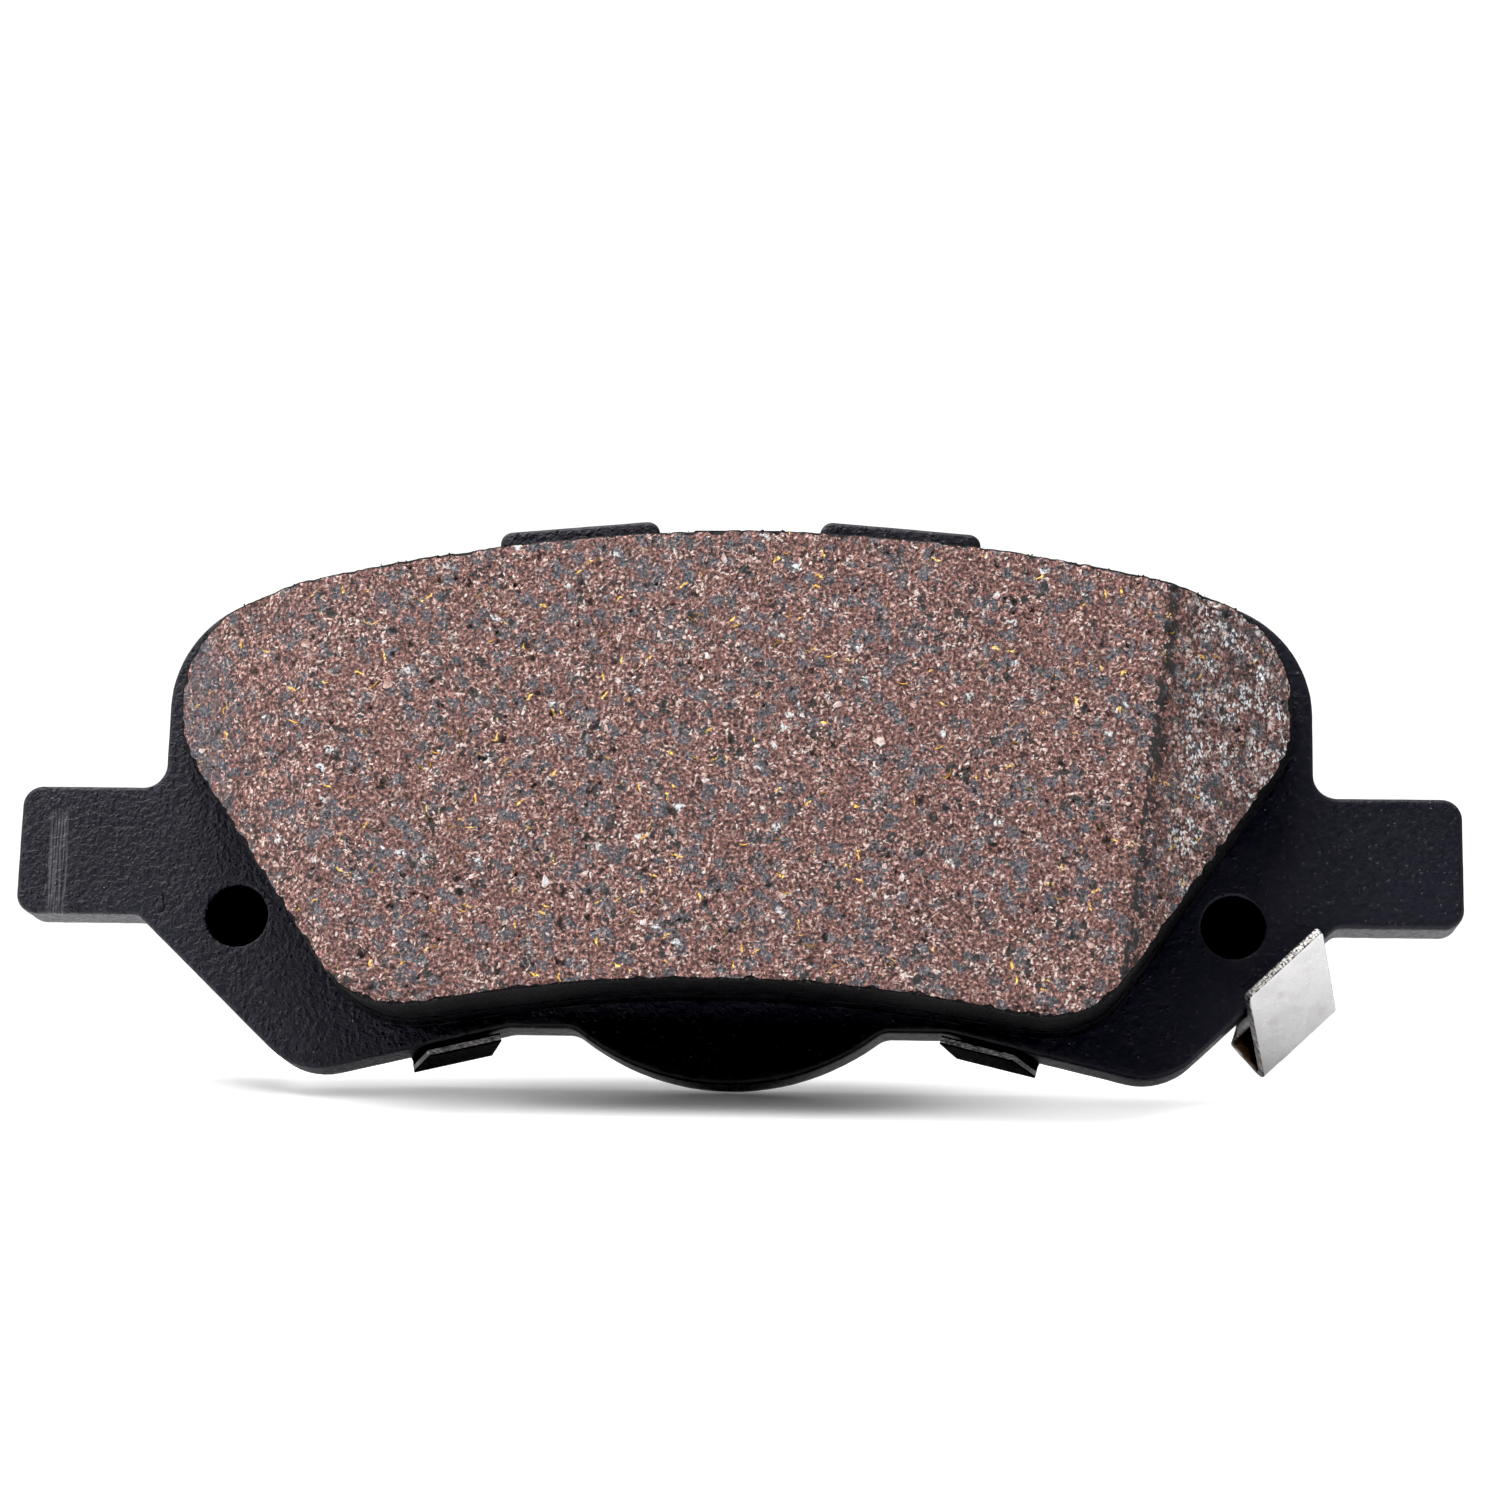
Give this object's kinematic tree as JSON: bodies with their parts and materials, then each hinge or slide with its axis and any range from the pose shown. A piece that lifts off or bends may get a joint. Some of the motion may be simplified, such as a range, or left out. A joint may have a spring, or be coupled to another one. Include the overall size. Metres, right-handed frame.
{
  "type": "disc brake pad",
  "caption": "Disc brake pad: steel plate with side ears, chamfered friction block, clipped noise shim on its back and a folded wear indicator beside one ear.",
  "frame": {"origin": "where the piston's axis meets the outer face of the shim", "axes": "+X along the pad, towards the wear indicator; +Y from the disc towards the piston, so the friction face looks towards -Y; +Z away from the wheel's centre"},
  "size_m": [0.1254, 0.0179, 0.0501],
  "materials": {
    "plate_coating": "satin",
    "friction": "matte",
    "underlayer": "matte",
    "bond": "matte",
    "adhesive": "matte",
    "shim_rubber": "satin",
    "shim_steel": "satin",
    "indicator_steel": "satin"
  },
  "bodies": {
    "root": {"backing_plate": "plate_coating", "bond_film": "bond", "underlayer": "underlayer", "friction_block": "friction", "shim_adhesive": "adhesive", "shim_inner_rubber": "shim_rubber", "shim_steel_core": "shim_steel", "shim_outer_rubber": "shim_rubber", "wear_indicator": "indicator_steel"}
  },
  "joints": []
}
